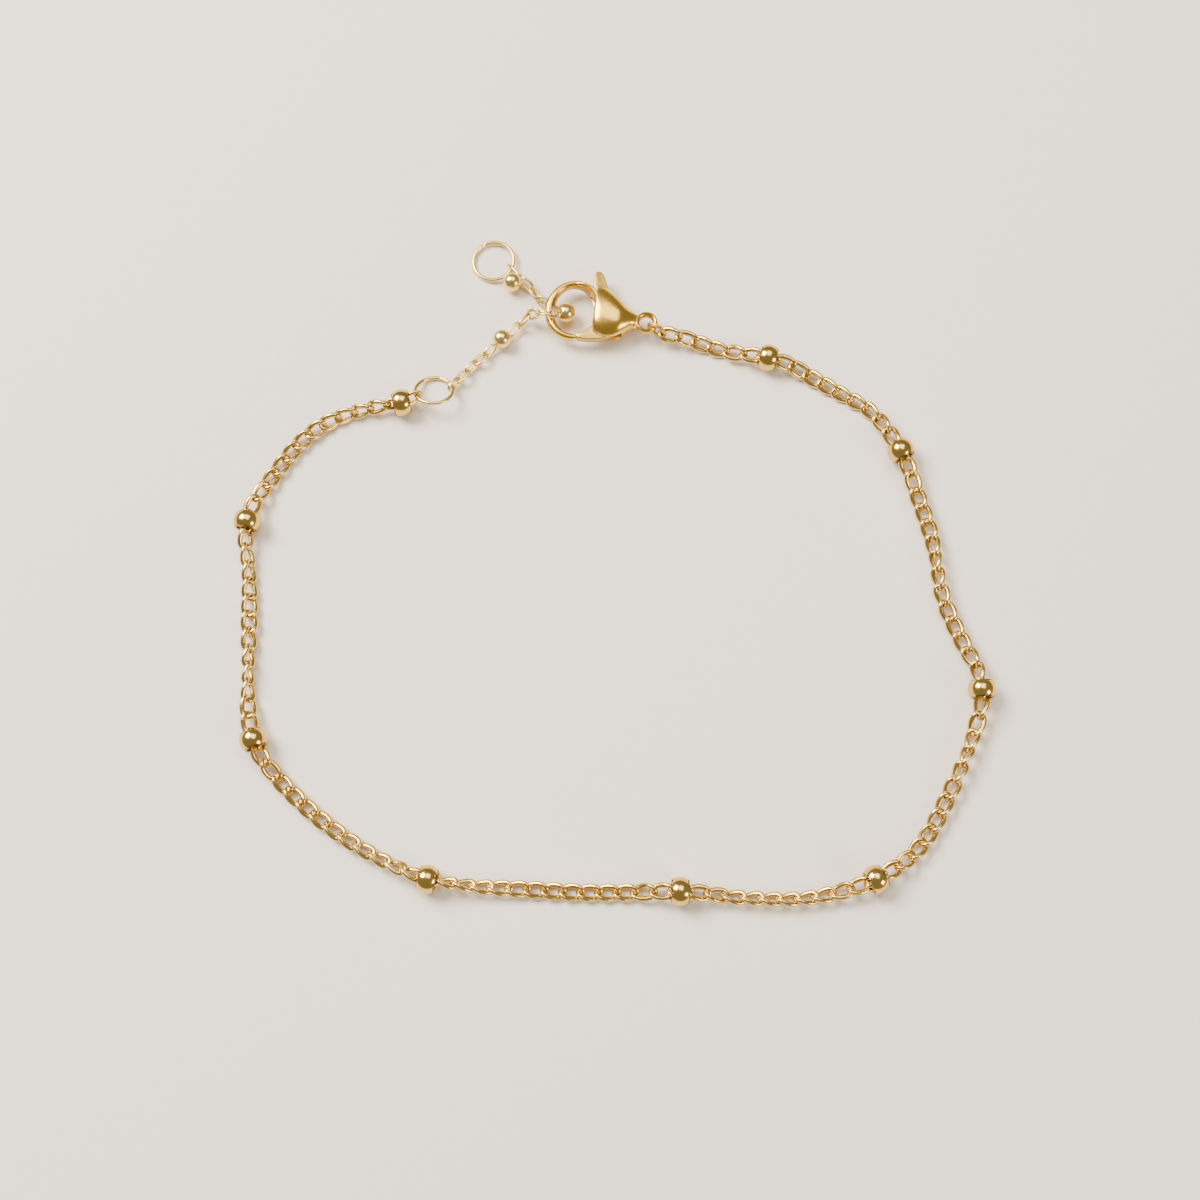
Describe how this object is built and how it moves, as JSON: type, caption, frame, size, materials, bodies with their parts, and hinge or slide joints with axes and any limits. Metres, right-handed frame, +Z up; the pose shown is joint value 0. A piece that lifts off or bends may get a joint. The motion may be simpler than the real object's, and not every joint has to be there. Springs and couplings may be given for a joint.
{
  "type": "satellite chain bracelet",
  "caption": "Fine curb chain bracelet with small round beads set along it, closed in a loop by a lobster clasp on a short extender chain.",
  "frame": {"origin": "under the middle of the bracelet's box, on the surface that it lies on", "axes": "+Z up from the surface; +Y from the middle of the chain towards the clasp; +X from the extender's end of the loop towards the clasp's end"},
  "size_m": [0.0654, 0.0602, 0.0028],
  "materials": {
    "chain_gold": "polished",
    "bead_gold": "polished",
    "clasp_gold": "polished",
    "lever_gold": "satin",
    "pale_gold": "polished"
  },
  "bodies": {
    "bracelet": {"curb_chain_left": "chain_gold", "curb_chain_right": "chain_gold", "bead_1": "bead_gold", "bead_2": "bead_gold", "bead_3": "bead_gold", "bead_4": "bead_gold", "bead_5": "bead_gold", "bead_6": "bead_gold", "bead_7": "bead_gold", "bead_8": "bead_gold", "bead_9": "bead_gold", "clasp_ring": "clasp_gold", "claw_body": "clasp_gold", "clasp_rivet": "clasp_gold", "jump_ring": "pale_gold", "end_ring": "pale_gold", "extender_chain": "pale_gold"},
    "lever": {"clasp_lever": "lever_gold"}
  },
  "joints": [
    {"name": "clasp_lever_hinge", "type": "hinge", "parent": "bracelet", "child": "lever", "pos_m": [-0.00009, 0.02132, 0.0014], "axis": [0, 0, -1], "range_deg": [0, 25], "stiffness_Nm_per_rad": 0.006, "springref_deg": -11.46}
  ]
}
